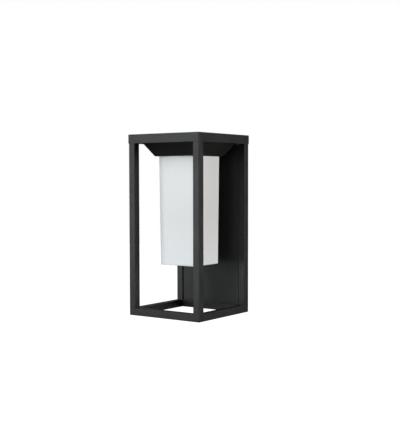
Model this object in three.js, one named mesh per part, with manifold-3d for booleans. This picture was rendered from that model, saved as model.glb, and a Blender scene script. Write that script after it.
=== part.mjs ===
// Outdoor wall lantern: a cage of square tube with a sheet metal cap, an opal diffuser that
// hangs from a hopper under the cap, a screw lamp inside it, and a bracket that stays on the wall.
//
// Millimetres. X runs to the right, Y points into the wall, Z points up. The origin is on the
// wall, at the middle of the bracket's back face. Heights below are counted from the cage's
// bottom, and the group at the end lowers everything by MOUNT_HEIGHT.
import * as THREE from 'three';
import { mergeVertices } from 'three/addons/utils/BufferGeometryUtils.js';
import Module from 'manifold-3d';

const wasm = await Module();
wasm.setup();

// ---- Driving dimensions ----

// Overall
const HEIGHT = 290;
const FRAME_WIDTH = 138.2;
const FRAME_DEPTH = 138.4;
const MOUNT_HEIGHT = 145;

// Square tube of the cage
const TUBE = 11.8;
const TUBE_WALL = 1.2;
const TUBE_RADIUS = 1;
const PLUG_DEPTH = 8;
const PLUG_FIT = 0.1;

// Cap: a folded lid with a skirt on three sides
const CAP_SHEET = 0.8;
const CAP_FIT = 0.1;
const CAP_SKIRT = 14.3;
const CAP_CORNER = 1.4;

// Hopper: an upside-down pyramid of folded sheet under the cap
const HOPPER_SHEET = 1;
const HOPPER_DROP = 34.7;
const HOPPER_TOP_GAP = 3.5;
const HOPPER_LEDGE = 5.1;
const FLANGE_INSET = 1.4;

// Diffuser: a drafted opal box, open at the top
const DIFFUSER_SIZE = 69.8;
const DIFFUSER_DRAFT = 0.48;
const DIFFUSER_DROP = 174.5;
const DIFFUSER_SLEEVE = 11;
const DIFFUSER_WALL = 2.4;
const DIFFUSER_CORNER = 2;
const DIFFUSER_FIT = 0.5;

// Collar, tray and gasket inside the hopper
const COLLAR_SHEET = 1;
const COLLAR_HEIGHT = 12.5;
const TRAY_SHEET = 1;
const TRAY_RIM = 6;
const TRAY_MARGIN = 1.2;
const TAB_WIDTH = 14;
const GASKET_WIDTH = 3.2;
const GASKET_GAP = 0.2;
const CLIP_WIDTH = 10;
const CLIP_SHEET = 0.4;
const CLIP_GAP = 0.25;

// Lampholder for the 27 mm screw lamp, hung on a 10 mm threaded nipple
const NIPPLE_RADIUS = 5;
const NIPPLE_BORE = 3.8;
const NIPPLE_ABOVE = 6.5;
const NIPPLE_BELOW = 6;
const NUT_FLATS = 14;
const NUT_HEIGHT = 4.5;
const HOLDER_RADIUS = 20.5;
const HOLDER_HEIGHT = 48;
const DOME_HEIGHT = 18;
const HOLDER_WALL = 2.2;
const CORE_HEIGHT = 9;
const CORE_RISE = 5;
const CORE_FIT = 0.4;
const NECK_RISE = 4.5;
const CONTACT_ROOM = 3.4;
const CONTACT_SHEET = 0.5;
const CONTACT_WIDTH = 5;
const SHELL_FIT = 0.9;
const SHELL_OUTER = 14.4;
const SHELL_WALL = 0.5;

// Screw lamp
const LAMP_THREAD = 13.1;
const LAMP_LENGTH = 98;
const LAMP_GLOBE = 27.5;
const LAMP_WALL = 1.2;
const LAMP_CAP_HEIGHT = 21.5;
const LAMP_CAP_WALL = 0.8;
const LAMP_CONTACT_RADIUS = 4.5;
const LAMP_CONTACT_HEIGHT = 1.2;
const INSULATOR_HEIGHT = 4;
const LAMP_SEAM = 0.1;

// Back panel and wall bracket
const PANEL_FACE = 10.3;
const PANEL_SHEET = 1;
const PANEL_FLANGE = 7.8;
const PANEL_FIT = 0.1;
const BRACKET_WIDTH = 96;
const BRACKET_SHEET = 1.5;
const BRACKET_LIP = 7;
const SLOT_WIDTH = 5;
const SLOT_LENGTH = 12;
const SLOT_PITCH_HIGH = 200;
const SLOT_PITCH_WIDE = 60;
const CABLE_HOLE = 8;
const CABLE_HOLE_DROP = 80;

// Terminal block and leads
const TERMINAL_WIDTH = 27;
const TERMINAL_HEIGHT = 16;
const TERMINAL_DEPTH = 7.3;
const TERMINAL_DROP = 42;
const TERMINAL_PITCH = 9;
const TERMINAL_SCREW_RISE = 4;
const SCREW_WELL = 1.6;
const SCREW_WELL_DEPTH = 1.8;
const LEAD_RADIUS = 1.1;
const LEAD_STEP = 4.5;
const LEAD_ENTRY = 1.4;
const WIRE_HOLE = 3.8;
const GROMMET_BORE = 3.1;
const GROMMET_LIP = 1.2;
const MEMBRANE_BORE = 1.5;
const TAG_RADIUS = 3.4;
const TAG_SHEET = 0.8;
const TAG_TAIL = 9;

// Fasteners
const SMALL_HEAD = 2.9;
const SMALL_SHANK = 1.5;
const PAN_HEIGHT = 2;
const CAP_SCREW_LENGTH = 8;
const LOCK_HEAD = 4;
const LOCK_SHANK = 2;
const LOCK_SPACING = 70;
const CAP_SCREW_INSET = 12;
const HOPPER_SCREW_INSET = 28;

// Clearances
const SCREW_FIT = 0.2;
const CLEAR = 0.3;
const SEAM = 0.05;

// ---- Derived places ----

const postX = FRAME_WIDTH / 2 - TUBE / 2;
const frontY = -(FRAME_DEPTH - TUBE / 2);
const rearY = -TUBE / 2;
const middleY = -FRAME_DEPTH / 2;
const railLengthX = FRAME_WIDTH - 2 * TUBE;
const railLengthY = FRAME_DEPTH - 2 * TUBE;
const railTop = HEIGHT - CAP_SHEET;
const railUnder = railTop - TUBE;
const topRailZ = railTop - TUBE / 2;
const hopperFloor = HEIGHT - HOPPER_DROP;
const hopperTop = railUnder - SEAM;
const hopperHalf = DIFFUSER_SIZE / 2 + HOPPER_LEDGE;
const draftRun = Math.tan(THREE.MathUtils.degToRad(DIFFUSER_DRAFT));
const sleeveHalf = DIFFUSER_SIZE / 2 + DIFFUSER_SLEEVE * draftRun;
const mouthHalf = sleeveHalf + DIFFUSER_FIT;
const collarBase = hopperFloor + HOPPER_SHEET;
const trayUnder = collarBase + COLLAR_HEIGHT;
const trayTop = trayUnder + TRAY_SHEET;
const sleeveTop = hopperFloor + DIFFUSER_SLEEVE;
const diffuserFloor = hopperFloor - DIFFUSER_DROP;
const domeTop = trayUnder - CLEAR;
const holderMouth = domeTop - HOLDER_HEIGHT;
const coreTop = domeTop - DOME_HEIGHT + CORE_RISE;
const coreBottom = coreTop - CORE_HEIGHT;
const lampTop = coreBottom - CONTACT_ROOM;
const lampBottom = lampTop - LAMP_LENGTH;
const bracketBottom = TUBE + CLEAR;
const bracketTop = railUnder - CLEAR;
const terminalZ = MOUNT_HEIGHT - TERMINAL_DROP;
const terminalTop = terminalZ + TERMINAL_HEIGHT / 2;

// ---- Materials ----

function finish(color, roughness, metalness) {
  return () => new THREE.MeshStandardMaterial({ color, roughness, metalness });
}

const blackPaint = finish(0x2b2c2e, 0.55, 0.3);
const satinBlackPaint = finish(0x222325, 0.35, 0.3);
const zincSteel = finish(0xa9adb0, 0.4, 0.9);
const stainless = finish(0xb9bbbd, 0.3, 0.9);
const whitePaint = finish(0xe9e9e6, 0.6, 0);
const opal = finish(0xe6eaee, 0.45, 0);
const blackPlastic = finish(0x18191a, 0.5, 0);
const whitePlastic = finish(0xf0f0ec, 0.45, 0);
const ceramic = finish(0xe8e3d6, 0.5, 0);
const brass = finish(0xc7a14e, 0.35, 0.9);
const blackRubber = finish(0x1b1b1c, 0.85, 0);
const whiteRubber = finish(0xdcdcd8, 0.8, 0);
const brownLead = finish(0x5a3418, 0.6, 0);
const blueLead = finish(0x2a5fae, 0.6, 0);
const earthLead = finish(0x5d8f2a, 0.6, 0);

// ---- Shape helpers ----

// A closed solid with merged corners, from any geometry.
function solid(geometry) {
  const bare = geometry.clone();
  bare.deleteAttribute('normal');
  bare.deleteAttribute('uv');
  const merged = mergeVertices(bare, 1e-4);
  const corners = merged.index.array;
  const triVerts = [];
  for (let i = 0; i < corners.length; i += 3) {
    const [a, b, c] = [corners[i], corners[i + 1], corners[i + 2]];
    if (a !== b && b !== c && c !== a) {
      triVerts.push(a, b, c);
    }
  }
  return new wasm.Manifold(new wasm.Mesh({
    numProp: 3,
    vertProperties: merged.attributes.position.array,
    triVerts: new Uint32Array(triVerts),
  }));
}

function geometryOf(body) {
  const { vertProperties, triVerts } = body.getMesh();
  const geometry = new THREE.BufferGeometry();
  geometry.setAttribute('position', new THREE.Float32BufferAttribute(vertProperties, 3));
  geometry.setIndex(Array.from(triVerts));
  geometry.computeVertexNormals();
  return geometry;
}

function cut(base, ...tools) {
  return geometryOf(tools.reduce((body, tool) => body.subtract(solid(tool)), solid(base)));
}

function join(base, ...others) {
  return geometryOf(others.reduce((body, other) => body.add(solid(other)), solid(base)));
}

function block(x0, x1, y0, y1, z0, z1) {
  const geometry = new THREE.BoxGeometry(x1 - x0, y1 - y0, z1 - z0);
  return geometry.translate((x0 + x1) / 2, (y0 + y1) / 2, (z0 + z1) / 2);
}

function roundedRectangle(width, height, radius) {
  const x = width / 2 - radius;
  const y = height / 2 - radius;
  const outline = new THREE.Shape();
  outline.absarc(x, -y, radius, -Math.PI / 2, 0);
  outline.absarc(x, y, radius, 0, Math.PI / 2);
  outline.absarc(-x, y, radius, Math.PI / 2, Math.PI);
  outline.absarc(-x, -y, radius, Math.PI, Math.PI * 1.5);
  outline.closePath();
  return outline;
}

function prism(outline, low, high, curveSegments = 2) {
  const options = { depth: high - low, bevelEnabled: false, curveSegments };
  return new THREE.ExtrudeGeometry(outline, options).translate(0, 0, low);
}

// A pyramid cut off level, centred on the Z axis, from the half sizes of its two ends.
function frustum([lowX, lowY], [highX, highY], low, high) {
  const geometry = new THREE.BoxGeometry(2, 2, high - low);
  const points = geometry.attributes.position;
  for (let i = 0; i < points.count; i++) {
    const [halfX, halfY] = points.getZ(i) > 0 ? [highX, highY] : [lowX, lowY];
    points.setXY(i, points.getX(i) * halfX, points.getY(i) * halfY);
  }
  return geometry.translate(0, 0, (low + high) / 2);
}

// A rounded square prism that widens evenly from its low end to its high end.
function draftedPrism(halfLow, halfHigh, radius, low, high) {
  const geometry = prism(roundedRectangle(2 * halfHigh, 2 * halfHigh, radius), low, high);
  const points = geometry.attributes.position;
  for (let i = 0; i < points.count; i++) {
    if (points.getZ(i) < (low + high) / 2) {
      const shrink = halfLow / halfHigh;
      points.setXY(i, points.getX(i) * shrink, points.getY(i) * shrink);
    }
  }
  return geometry;
}

// A round piece turned about Z, from [radius, height] corners listed up its outside.
function turned(corners, segments = 20) {
  const profile = corners.map(([radius, height]) => new THREE.Vector2(radius, height));
  return new THREE.LatheGeometry(profile, segments).rotateX(Math.PI / 2);
}

// A hollow round piece: the same, with the profile closed on itself.
function turnedRing(corners, segments = 20) {
  return turned([...corners, corners[0]], segments);
}

function disc(radius, low, high, segments = 16) {
  return turned([[0, low], [radius, low], [radius, high], [0, high]], segments);
}

// A countersunk screw standing on its tip, with its head's flat top at height 0.
function countersunk(head, shank, length, grow = 0) {
  const sink = head - shank;
  return turned([
    [0, -length - grow],
    [shank + grow, -length - grow],
    [shank + grow, -sink],
    [head + grow, 0],
    [head + grow, grow],
    [0, grow],
  ], 12);
}

// A pan head screw standing on its tip, with its head's underside at height 0.
function panHead(head, shank, headHeight, length) {
  return turned([
    [0, -length],
    [shank, -length],
    [shank, 0],
    [head, 0],
    [head, headHeight * 0.5],
    [head * 0.7, headHeight],
    [0, headHeight],
  ], 12);
}

function lead(points) {
  const section = new THREE.Shape().absarc(0, 0, LEAD_RADIUS, 0, Math.PI * 2);
  const path = new THREE.CatmullRomCurve3(points);
  const steps = Math.ceil(path.getLength() / LEAD_STEP);
  return new THREE.ExtrudeGeometry(section, { steps, extrudePath: path, curveSegments: 3 });
}

// A strip of even thickness that follows [across, up] points, as wide as asked along Y.
function bentStrip(points, thickness, width) {
  const line = points.map(([across, up]) => new THREE.Vector2(across, up));
  const side = line.map((point, i) => {
    const before = line[Math.max(i - 1, 0)];
    const after = line[Math.min(i + 1, line.length - 1)];
    const along = after.clone().sub(before).normalize();
    return point.clone().add(new THREE.Vector2(along.y, -along.x).multiplyScalar(thickness));
  });
  const outline = new THREE.Shape([...line, ...side.reverse()]);
  return prism(outline, -width / 2, width / 2).rotateX(Math.PI / 2);
}

// ---- The lantern ----

const lantern = new THREE.Group();
lantern.position.z = -MOUNT_HEIGHT;

function place(name, geometry, material, x = 0, y = 0, z = 0) {
  const mesh = new THREE.Mesh(geometry, material());
  mesh.name = name;
  mesh.position.set(x, y, z);
  lantern.add(mesh);
  return mesh;
}

const corners = [
  { name: 'front_left', x: -postX, y: frontY },
  { name: 'front_right', x: postX, y: frontY },
  { name: 'rear_left', x: -postX, y: rearY },
  { name: 'rear_right', x: postX, y: rearY },
];

// Cage: four posts from the floor to the cap, with rails welded between them.
function squareTube(length, axis) {
  const outline = roundedRectangle(TUBE, TUBE, TUBE_RADIUS);
  const bore = TUBE / 2 - TUBE_WALL;
  outline.holes.push(new THREE.Path([
    new THREE.Vector2(-bore, -bore),
    new THREE.Vector2(-bore, bore),
    new THREE.Vector2(bore, bore),
    new THREE.Vector2(bore, -bore),
  ]));
  const geometry = prism(outline, -length / 2, length / 2);
  if (axis === 'x') {
    geometry.rotateY(Math.PI / 2);
  }
  if (axis === 'y') {
    geometry.rotateX(Math.PI / 2);
  }
  return geometry;
}

for (const { name, x, y } of corners) {
  place(`post_${name}`, squareTube(railTop, 'z'), blackPaint, x, y, railTop / 2);
  const plugHalf = TUBE / 2 - TUBE_WALL - PLUG_FIT;
  const plug = block(-plugHalf, plugHalf, -plugHalf, plugHalf, 0, PLUG_DEPTH);
  place(`foot_plug_${name}`, plug, blackPlastic, x, y, 0);
}

const lockX = LOCK_SPACING / 2;
const lockY = -(BRACKET_LIP - LOCK_SHANK);

place('bottom_rail_front', squareTube(railLengthX, 'x'), blackPaint, 0, frontY, TUBE / 2);
place('bottom_rail_left', squareTube(railLengthY, 'y'), blackPaint, -postX, middleY, TUBE / 2);
place('bottom_rail_right', squareTube(railLengthY, 'y'), blackPaint, postX, middleY, TUBE / 2);

// The rear bottom rail is drilled and countersunk from below for the two lock screws.
const lockLength = TUBE + CLEAR + BRACKET_SHEET + 2;
function lockScrewShape(grow) {
  return countersunk(LOCK_HEAD, LOCK_SHANK, lockLength, grow).rotateX(Math.PI);
}
const rearBottomRail = cut(
  squareTube(railLengthX, 'x'),
  lockScrewShape(SCREW_FIT).translate(-lockX, lockY - rearY, -TUBE / 2),
  lockScrewShape(SCREW_FIT).translate(lockX, lockY - rearY, -TUBE / 2),
);
place('bottom_rail_rear', rearBottomRail, blackPaint, 0, rearY, TUBE / 2);
place('lock_screw_left', lockScrewShape(0), stainless, -lockX, lockY, 0);
place('lock_screw_right', lockScrewShape(0), stainless, lockX, lockY, 0);

// The side top rails take the cap's screws from above and the hopper's screws from below.
const railEnds = [-TUBE, TUBE - FRAME_DEPTH];
const capScrewY = [railEnds[0] - CAP_SCREW_INSET, railEnds[1] + CAP_SCREW_INSET];
const hopperScrewLength = HOPPER_SHEET + TUBE_WALL + 4;
const hopperScrewY = [railEnds[0] - HOPPER_SCREW_INSET, railEnds[1] + HOPPER_SCREW_INSET];
function capScrewShape(grow) {
  return countersunk(SMALL_HEAD, SMALL_SHANK, CAP_SCREW_LENGTH, grow);
}
function hopperScrewShape(grow) {
  return countersunk(SMALL_HEAD, SMALL_SHANK, hopperScrewLength, grow).rotateX(Math.PI);
}
const hopperScrewZ = railUnder - HOPPER_SHEET;
for (const [side, x] of [['left', -postX], ['right', postX]]) {
  const rail = cut(
    squareTube(railLengthY, 'y').translate(x, middleY, topRailZ),
    ...capScrewY.map((y) => capScrewShape(SCREW_FIT).translate(x, y, HEIGHT)),
    ...hopperScrewY.map((y) => hopperScrewShape(SCREW_FIT).translate(x, y, hopperScrewZ)),
  );
  place(`top_rail_${side}`, rail, blackPaint);
  for (const [end, i] of [['rear', 0], ['front', 1]]) {
    const name = `${end}_${side}`;
    place(`cap_screw_${name}`, capScrewShape(0), stainless, x, capScrewY[i], HEIGHT);
    place(`hopper_screw_${name}`, hopperScrewShape(0), stainless, x, hopperScrewY[i], hopperScrewZ);
  }
}
place('top_rail_front', squareTube(railLengthX, 'x'), blackPaint, 0, frontY, topRailZ);

// The rear top rail is drilled in front and below, and the leads pass through it.
const railGrommetHole = disc(WIRE_HOLE, -1, TUBE_WALL + 1).rotateX(-Math.PI / 2);
const railDropHole = disc(WIRE_HOLE, -1, TUBE_WALL + 1);
const rearTopRail = cut(
  squareTube(railLengthX, 'x').translate(0, rearY, topRailZ),
  railGrommetHole.translate(0, -TUBE, topRailZ),
  railDropHole.translate(0, rearY, railUnder),
);
place('top_rail_rear', rearTopRail, blackPaint);

// Cap: a lid over the top rails, with a skirt at the front and both sides.
const capHalf = FRAME_WIDTH / 2 + CAP_FIT + CAP_SHEET;
const capFront = FRAME_DEPTH + CAP_FIT + CAP_SHEET;
const capInner = capHalf - CAP_SHEET;
const capOutline = roundedRectangle(2 * capHalf, capFront, CAP_CORNER);
const cap = cut(
  prism(capOutline, HEIGHT - CAP_SKIRT, HEIGHT).translate(0, -capFront / 2, 0),
  block(-capInner, capInner, CAP_SHEET - capFront, 1, HEIGHT - CAP_SKIRT - 1, railTop + SEAM),
  ...[-postX, postX].flatMap((x) => capScrewY.map(
    (y) => capScrewShape(SCREW_FIT).translate(x, y, HEIGHT))),
);
place('top_cap', cap, blackPaint);

// Hopper: a flange screwed under the top rails, four leaning walls, and a floor with a mouth.
const flangeUnder = railUnder - HOPPER_SHEET;
const flangeX = FRAME_WIDTH / 2 - FLANGE_INSET;
const flangeFront = -(FRAME_DEPTH - FLANGE_INSET);
const flangeRear = -PANEL_FACE - CLEAR;
const cornerNotch = TUBE - FLANGE_INSET + CLEAR;
const hopperRise = hopperTop - hopperFloor;
const hopperTopHalves = [railLengthX / 2 - HOPPER_TOP_GAP, railLengthY / 2 - HOPPER_TOP_GAP];

// Half sizes of the hopper's inside at a height above its floor, square to the leaning sheet.
function hopperInside(height) {
  return hopperTopHalves.map((topHalf) => {
    const run = (topHalf - hopperHalf) / hopperRise;
    return hopperHalf + height * run - HOPPER_SHEET * Math.hypot(1, run);
  });
}
const hopperCuts = [
  frustum(hopperInside(HOPPER_SHEET), hopperInside(hopperRise + 1), collarBase, hopperTop + 1),
  block(-mouthHalf, mouthHalf, -mouthHalf, mouthHalf, hopperFloor - 1, collarBase + 1),
];
for (const tool of hopperCuts) {
  tool.translate(0, middleY, 0);
}
for (const side of [-1, 1]) {
  const outer = side * (flangeX + 1);
  const inner = side * (flangeX - cornerNotch);
  const [x0, x1] = [Math.min(outer, inner), Math.max(outer, inner)];
  const [z0, z1] = [flangeUnder - 1, railUnder];
  hopperCuts.push(block(x0, x1, flangeFront - 1, flangeFront + cornerNotch, z0, z1));
  hopperCuts.push(block(x0, x1, -TUBE - CLEAR, flangeRear + 1, z0, z1));
  for (const y of hopperScrewY) {
    hopperCuts.push(hopperScrewShape(SCREW_FIT).translate(side * postX, y, hopperScrewZ));
  }
}
const hopper = cut(
  join(
    frustum([hopperHalf, hopperHalf], hopperTopHalves, hopperFloor, hopperTop)
      .translate(0, middleY, 0),
    block(-flangeX, flangeX, flangeFront, flangeRear, flangeUnder, hopperTop),
  ),
  ...hopperCuts,
);
place('hopper', hopper, blackPaint);

// Collar: a square sleeve on the hopper's floor that guides the top of the diffuser.
const collarHalf = mouthHalf + COLLAR_SHEET;
const footHalf = Math.min(...hopperInside(HOPPER_SHEET)) - CLEAR;
const [trayX, trayY] = hopperInside(trayUnder - hopperFloor).map((half) => half - TRAY_MARGIN);
const tabY = (collarHalf + trayY) / 2;
const earthX = mouthHalf * 0.7;
const windowHalf = CLIP_WIDTH / 2 + 1;
const clipWindow = block(-collarHalf - 1, collarHalf + 1, -windowHalf, windowHalf,
  collarBase + 2.5, collarBase + 8.5);
function square(half, low, high) {
  return block(-half, half, -half, half, low, high);
}
const collar = cut(
  join(
    square(collarHalf, collarBase + SEAM, trayUnder - SEAM),
    square(footHalf, collarBase + SEAM, collarBase + COLLAR_SHEET),
    block(-TAB_WIDTH / 2, TAB_WIDTH / 2, -trayY, trayY, trayUnder - COLLAR_SHEET, trayUnder - SEAM),
  ),
  square(mouthHalf, collarBase - 1, trayUnder + 1),
  clipWindow,
  disc(SMALL_SHANK + SCREW_FIT, trayUnder - 3, trayUnder + 1).translate(0, -tabY, 0),
  disc(SMALL_SHANK + SCREW_FIT, trayUnder - 3, trayUnder + 1).translate(0, tabY, 0),
);
place('diffuser_collar', collar, zincSteel, 0, middleY, 0);

// Two leaf springs on the collar press on the diffuser through the windows.
const clipOut = collarHalf + 0.1;
const clipIn = sleeveHalf + CLIP_GAP;
const clipLeaf = bentStrip([
  [clipOut, collarBase + 1.6],
  [clipOut, collarBase + 2.6],
  [clipIn, collarBase + 5],
  [clipIn, collarBase + 6],
  [clipOut, collarBase + 8.4],
  [clipOut, collarBase + 11.2],
], CLIP_SHEET, CLIP_WIDTH);
place('spring_clip_right', clipLeaf, stainless, 0, middleY, 0);
const leftClip = place('spring_clip_left', clipLeaf.clone(), stainless, 0, middleY, 0);
leftClip.rotation.z = Math.PI;

// Tray: a plate folded up at its left and right edges. It closes the collar and carries the
// lampholder.
const panX = trayX - TRAY_SHEET;
const tray = cut(
  block(-trayX, trayX, -trayY, trayY, trayUnder, trayTop + TRAY_RIM),
  block(-panX, panX, -trayY - 1, trayY + 1, trayTop, trayTop + TRAY_RIM + 1),
  disc(NIPPLE_RADIUS + SCREW_FIT, trayUnder - 1, trayTop + 1),
  disc(SMALL_SHANK + SCREW_FIT, trayUnder - 1, trayTop + 1).translate(0, -tabY, 0),
  disc(SMALL_SHANK + SCREW_FIT, trayUnder - 1, trayTop + 1).translate(0, tabY, 0),
  disc(SMALL_SHANK + SCREW_FIT, trayUnder - 1, trayTop + 1).translate(earthX, 0, 0),
);
place('gear_tray', tray, whitePaint, 0, middleY, 0);
const trayScrew = panHead(SMALL_HEAD, SMALL_SHANK, PAN_HEIGHT, TRAY_SHEET + COLLAR_SHEET + 2);
place('tray_screw_front', trayScrew, zincSteel, 0, middleY - tabY, trayTop + SEAM);
place('tray_screw_rear', trayScrew.clone(), zincSteel, 0, middleY + tabY, trayTop + SEAM);

// Gasket: a silicone frame under the tray that the diffuser's rim meets.
const gasket = cut(
  square(sleeveHalf, sleeveTop + GASKET_GAP, trayUnder - SEAM),
  square(sleeveHalf - GASKET_WIDTH, sleeveTop, trayUnder),
);
place('diffuser_gasket', gasket, whiteRubber, 0, middleY, 0);

// Diffuser: opal box with drafted walls, closed at the bottom.
const floorHalf = DIFFUSER_SIZE / 2 - DIFFUSER_DROP * draftRun;
const insideHalf = sleeveHalf - DIFFUSER_WALL;
const insideFloorHalf = floorHalf + DIFFUSER_WALL * draftRun - DIFFUSER_WALL;
const insideTop = sleeveTop + 1;
const diffuser = cut(
  draftedPrism(floorHalf, sleeveHalf, DIFFUSER_CORNER, diffuserFloor, sleeveTop),
  draftedPrism(insideFloorHalf, insideHalf + draftRun, DIFFUSER_CORNER / 2,
    diffuserFloor + DIFFUSER_WALL, insideTop),
);
place('diffuser', diffuser, opal, 0, middleY, 0);

// Lampholder, from the nipple down.
const nippleTop = trayTop + NIPPLE_ABOVE;
const nippleBottom = domeTop - NIPPLE_BELOW;
const nipple = turnedRing([
  [NIPPLE_BORE, nippleBottom],
  [NIPPLE_RADIUS, nippleBottom],
  [NIPPLE_RADIUS, nippleTop],
  [NIPPLE_BORE, nippleTop],
]);
place('holder_nipple', nipple, zincSteel, 0, middleY, 0);

const nutCorner = NUT_FLATS / Math.sqrt(3);
const nut = cut(
  turned([[0, 0], [nutCorner, 0], [nutCorner, NUT_HEIGHT], [0, NUT_HEIGHT]], 6),
  disc(NIPPLE_RADIUS + SCREW_FIT, -1, NUT_HEIGHT + 1),
);
place('nipple_nut', nut, zincSteel, 0, middleY, trayTop + SEAM);

const domeRim = domeTop - DOME_HEIGHT;
const domeInner = HOLDER_RADIUS - HOLDER_WALL;
const dome = turnedRing([
  [domeInner, domeRim],
  [HOLDER_RADIUS, domeRim],
  [HOLDER_RADIUS, domeRim + 5],
  [HOLDER_RADIUS - 1.5, domeRim + 9],
  [NIPPLE_RADIUS + 7, domeTop - 2],
  [NIPPLE_RADIUS + 4, domeTop],
  [NIPPLE_RADIUS + SCREW_FIT, domeTop],
  [NIPPLE_RADIUS + SCREW_FIT, domeTop - 4],
  [NIPPLE_RADIUS + 5, domeTop - 4.5],
  [domeInner - 1, domeRim + 8],
  [domeInner, domeRim + 5],
]);
place('holder_dome', dome, blackPlastic, 0, middleY, 0);

const neck = domeInner - 0.5;
const skirtInner = SHELL_OUTER + SHELL_FIT;
const skirt = turnedRing([
  [skirtInner, holderMouth],
  [HOLDER_RADIUS - 2, holderMouth],
  [HOLDER_RADIUS - 1, holderMouth + 3],
  [HOLDER_RADIUS, domeRim - 4],
  [HOLDER_RADIUS, domeRim - CLEAR],
  [neck, domeRim - CLEAR],
  [neck, domeRim + NECK_RISE],
  [skirtInner, domeRim + NECK_RISE],
]);
place('holder_skirt', skirt, blackPlastic, 0, middleY, 0);

const coreRadius = skirtInner - CORE_FIT;
const core = cut(
  disc(coreRadius, coreBottom, coreTop),
  disc(LEAD_ENTRY, coreTop - 4, coreTop + 1).translate(-NIPPLE_BORE / 2, 0, 0),
  disc(LEAD_ENTRY, coreTop - 4, coreTop + 1).translate(NIPPLE_BORE / 2, 0, 0),
);
place('holder_core', core, ceramic, 0, middleY, 0);

const threadShell = turnedRing([
  [SHELL_OUTER - SHELL_WALL, holderMouth + 2],
  [SHELL_OUTER, holderMouth + 2],
  [SHELL_OUTER, coreBottom - 0.2],
  [SHELL_OUTER - SHELL_WALL, coreBottom - 0.2],
]);
place('holder_thread_shell', threadShell, brass, 0, middleY, 0);

const contactLeaf = bentStrip([
  [-6, coreBottom - 0.1],
  [-3, coreBottom - 0.1],
  [0, lampTop + 0.8],
  [4, lampTop + 0.8],
], CONTACT_SHEET, CONTACT_WIDTH);
place('holder_contact', contactLeaf, brass, 0, middleY, 0);

// Screw lamp: contact, insulator, threaded cap, driver housing and opal globe.
const contactBottom = lampTop - LAMP_CONTACT_HEIGHT;
const insulatorTop = contactBottom - LAMP_SEAM;
const insulatorBottom = insulatorTop - INSULATOR_HEIGHT;
const capTop = insulatorBottom - LAMP_SEAM;
const capBottom = capTop - LAMP_CAP_HEIGHT;
const housingTop = capBottom - LAMP_SEAM;
const globeTop = lampBottom + LAMP_GLOBE * 1.45;
const waistRadius = LAMP_GLOBE * 0.702;
const waistZ = globeTop + (housingTop - globeTop) * 0.4;
const globeCentre = lampBottom + LAMP_GLOBE;
const globeMouth = Math.sqrt(LAMP_GLOBE ** 2 - (globeTop - globeCentre) ** 2);

place('lamp_contact', turned([
  [0, contactBottom],
  [LAMP_CONTACT_RADIUS, contactBottom],
  [LAMP_CONTACT_RADIUS, lampTop - 0.5],
  [2.5, lampTop],
  [0, lampTop],
]), zincSteel, 0, middleY, 0);
place('lamp_insulator', turned([
  [0, insulatorBottom],
  [LAMP_THREAD - 1.6, insulatorBottom],
  [5, insulatorTop],
  [0, insulatorTop],
]), blackPlastic, 0, middleY, 0);
place('lamp_cap', turnedRing([
  [LAMP_THREAD - LAMP_CAP_WALL, capBottom],
  [LAMP_THREAD, capBottom],
  [LAMP_THREAD, capTop - 1.2],
  [LAMP_THREAD - 1, capTop],
  [LAMP_THREAD - 1 - LAMP_CAP_WALL, capTop],
  [LAMP_THREAD - LAMP_CAP_WALL, capTop - 2],
]), stainless, 0, middleY, 0);
place('lamp_housing', turnedRing([
  [globeMouth - LAMP_WALL, globeTop + LAMP_SEAM],
  [globeMouth, globeTop + LAMP_SEAM],
  [waistRadius, waistZ],
  [LAMP_THREAD + 1.6, housingTop - 3],
  [LAMP_THREAD + 0.6, housingTop],
  [LAMP_THREAD - 1.2, housingTop],
  [LAMP_THREAD - 0.4, housingTop - 3.6],
  [waistRadius - LAMP_WALL, waistZ - LAMP_WALL],
]), whitePlastic, 0, middleY, 0);

function globeArc(radius, fromHeight) {
  const start = Math.asin((fromHeight - globeCentre) / radius);
  const steps = 7;
  return Array.from({ length: steps + 1 }, (unused, i) => {
    const angle = start + ((-Math.PI / 2 - start) * i) / steps;
    return [i === steps ? 0 : radius * Math.cos(angle), globeCentre + radius * Math.sin(angle)];
  });
}
place('lamp_globe', turned([
  ...globeArc(LAMP_GLOBE, globeTop).reverse(),
  ...globeArc(LAMP_GLOBE - LAMP_WALL, globeTop),
]), opal, 0, middleY, 0);

// Back panel: a folded sheet between the rear posts that hides the bracket and the wiring.
const panelHalf = railLengthX / 2 - PANEL_FIT;
const panel = cut(
  block(-panelHalf, panelHalf, -PANEL_FACE, -PANEL_FACE + PANEL_SHEET + PANEL_FLANGE,
    TUBE + PANEL_FIT, flangeUnder - PANEL_FIT),
  block(-panelHalf + PANEL_SHEET, panelHalf - PANEL_SHEET, -PANEL_FACE + PANEL_SHEET, 1,
    0, HEIGHT),
);
place('back_panel', panel, satinBlackPaint);

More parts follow.
